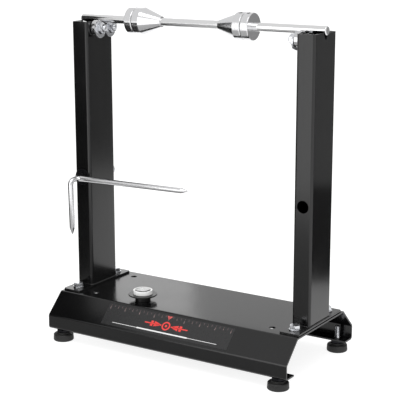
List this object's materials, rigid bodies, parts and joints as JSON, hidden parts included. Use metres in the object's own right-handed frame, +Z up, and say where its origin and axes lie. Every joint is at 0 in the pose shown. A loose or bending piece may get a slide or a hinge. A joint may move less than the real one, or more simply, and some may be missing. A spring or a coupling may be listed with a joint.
{
  "type": "wheel balancing and truing stand",
  "caption": "Bench stand that holds a motorcycle wheel on a free-running shaft between two posts, with centring cones, a swivelling pointer, a level and adjustable feet.",
  "frame": {"origin": "on the ground, under the centre of the base", "axes": "+X along the wheel shaft, from the pointer's post to the other; +Y to the back, away from the scale label; +Z up"},
  "size_m": [0.4, 0.205, 0.4862],
  "materials": {
    "black_coat": "semi-gloss black powder coat",
    "polished_steel": "ground and polished bright steel",
    "turned_aluminium": "turned aluminium, fine lathe lines",
    "bearing_steel": "ground bearing steel",
    "zinc": "bright zinc plate",
    "black_steel": "black oxide",
    "rubber": "moulded black rubber",
    "black_plastic": "moulded black ABS",
    "white_plastic": "moulded white ABS",
    "clear_lens": "clear acrylic",
    "level_fluid": "clear spirit fluid",
    "label_film": "printed vinyl film"
  },
  "bodies": {
    "root": {"base_channel": "black_coat", "foot_plate_left": "black_coat", "foot_plate_right": "black_coat", "post_left": "black_coat", "post_right": "black_coat", "plate_bolts": "zinc", "plate_washers": "zinc", "plate_nuts": "zinc", "bearing_bolts": "zinc", "bearing_spacers": "zinc", "bearing_shims": "zinc", "guard_washers": "zinc", "bearing_nuts": "zinc", "inner_ring_lf": "bearing_steel", "inner_ring_lr": "bearing_steel", "inner_ring_rf": "bearing_steel", "inner_ring_rr": "bearing_steel", "lock_nuts": "black_steel", "level_base": "black_plastic", "level_cup": "white_plastic", "level_fluid": "level_fluid", "level_bubble": "level_fluid", "level_lens": "clear_lens", "scale_label": "label_film"},
    "shaft": {"shaft": "polished_steel"},
    "cone_left": {"cone_left": "turned_aluminium", "cone_screw_left": "black_steel"},
    "cone_right": {"cone_right": "turned_aluminium", "cone_screw_right": "black_steel"},
    "collar_left": {"collar_left": "turned_aluminium", "collar_screw_left": "black_steel"},
    "collar_right": {"collar_right": "turned_aluminium", "collar_screw_right": "black_steel"},
    "pointer": {"pointer_rod": "polished_steel", "pointer_pin": "black_steel", "pointer_washer": "zinc"},
    "clamp_nut": {"clamp_nut": "zinc"},
    "ring_lf": {"outer_ring_lf": "bearing_steel", "shields_lf": "zinc"},
    "cage_lf": {"balls_lf": "bearing_steel"},
    "ring_lr": {"outer_ring_lr": "bearing_steel", "shields_lr": "zinc"},
    "cage_lr": {"balls_lr": "bearing_steel"},
    "ring_rf": {"outer_ring_rf": "bearing_steel", "shields_rf": "zinc"},
    "cage_rf": {"balls_rf": "bearing_steel"},
    "ring_rr": {"outer_ring_rr": "bearing_steel", "shields_rr": "zinc"},
    "cage_rr": {"balls_rr": "bearing_steel"},
    "foot_fl": {"foot_fl": "rubber", "stud_fl": "zinc"},
    "foot_fr": {"foot_fr": "rubber", "stud_fr": "zinc"},
    "foot_rl": {"foot_rl": "rubber", "stud_rl": "zinc"},
    "foot_rr": {"foot_rr": "rubber", "stud_rr": "zinc"}
  },
  "joints": [
    {"name": "shaft_spin", "type": "hinge", "parent": "root", "child": "shaft", "pos_m": [0, 0, 0.46721], "axis": [1, 0, 0], "continuous": true},
    {"name": "cone_left_slide", "type": "slide", "parent": "shaft", "child": "cone_left", "axis": [1, 0, 0], "range_m": [-0.034, 0.045]},
    {"name": "cone_right_slide", "type": "slide", "parent": "shaft", "child": "cone_right", "axis": [-1, 0, 0], "range_m": [-0.058, 0.045]},
    {"name": "collar_left_slide", "type": "slide", "parent": "cone_left", "child": "collar_left", "axis": [-1, 0, 0], "range_m": [0, 0.03]},
    {"name": "collar_right_slide", "type": "slide", "parent": "cone_right", "child": "collar_right", "axis": [1, 0, 0], "range_m": [0, 0.03]},
    {"name": "pointer_swivel", "type": "hinge", "parent": "root", "child": "pointer", "pos_m": [-0.1838, -0.0295, 0.2364], "axis": [0, 1, 0], "range_deg": [-235, 52]},
    {"name": "clamp_nut_spin", "type": "hinge", "parent": "pointer", "child": "clamp_nut", "pos_m": [-0.1838, 0.036, 0.2364], "axis": [0, 1, 0], "continuous": true},
    {"name": "ring_spin_lf", "type": "hinge", "parent": "root", "child": "ring_lf", "pos_m": [-0.16555, -0.012, 0.4551], "axis": [1, 0, 0], "continuous": true},
    {"name": "cage_spin_lf", "type": "hinge", "parent": "root", "child": "cage_lf", "pos_m": [-0.16555, -0.012, 0.4551], "axis": [1, 0, 0], "continuous": true},
    {"name": "ring_spin_lr", "type": "hinge", "parent": "root", "child": "ring_lr", "pos_m": [-0.16555, 0.012, 0.4551], "axis": [1, 0, 0], "continuous": true},
    {"name": "cage_spin_lr", "type": "hinge", "parent": "root", "child": "cage_lr", "pos_m": [-0.16555, 0.012, 0.4551], "axis": [1, 0, 0], "continuous": true},
    {"name": "ring_spin_rf", "type": "hinge", "parent": "root", "child": "ring_rf", "pos_m": [0.16555, -0.012, 0.4551], "axis": [1, 0, 0], "continuous": true},
    {"name": "cage_spin_rf", "type": "hinge", "parent": "root", "child": "cage_rf", "pos_m": [0.16555, -0.012, 0.4551], "axis": [1, 0, 0], "continuous": true},
    {"name": "ring_spin_rr", "type": "hinge", "parent": "root", "child": "ring_rr", "pos_m": [0.16555, 0.012, 0.4551], "axis": [1, 0, 0], "continuous": true},
    {"name": "cage_spin_rr", "type": "hinge", "parent": "root", "child": "cage_rr", "pos_m": [0.16555, 0.012, 0.4551], "axis": [1, 0, 0], "continuous": true},
    {"name": "foot_fl_adjust", "type": "slide", "parent": "root", "child": "foot_fl", "axis": [0, 0, -1], "range_m": [0, 0.012]},
    {"name": "foot_fr_adjust", "type": "slide", "parent": "root", "child": "foot_fr", "axis": [0, 0, -1], "range_m": [0, 0.012]},
    {"name": "foot_rl_adjust", "type": "slide", "parent": "root", "child": "foot_rl", "axis": [0, 0, -1], "range_m": [0, 0.012]},
    {"name": "foot_rr_adjust", "type": "slide", "parent": "root", "child": "foot_rr", "axis": [0, 0, -1], "range_m": [0, 0.012]}
  ],
  "couplings": [
    {"joint": "ring_spin_lf", "follows": "shaft_spin", "ratio": -0.54546},
    {"joint": "cage_spin_lf", "follows": "shaft_spin", "ratio": -0.34489},
    {"joint": "ring_spin_lr", "follows": "shaft_spin", "ratio": -0.54546},
    {"joint": "cage_spin_lr", "follows": "shaft_spin", "ratio": -0.34489},
    {"joint": "ring_spin_rf", "follows": "shaft_spin", "ratio": -0.54546},
    {"joint": "cage_spin_rf", "follows": "shaft_spin", "ratio": -0.34489},
    {"joint": "ring_spin_rr", "follows": "shaft_spin", "ratio": -0.54546},
    {"joint": "cage_spin_rr", "follows": "shaft_spin", "ratio": -0.34489}
  ]
}
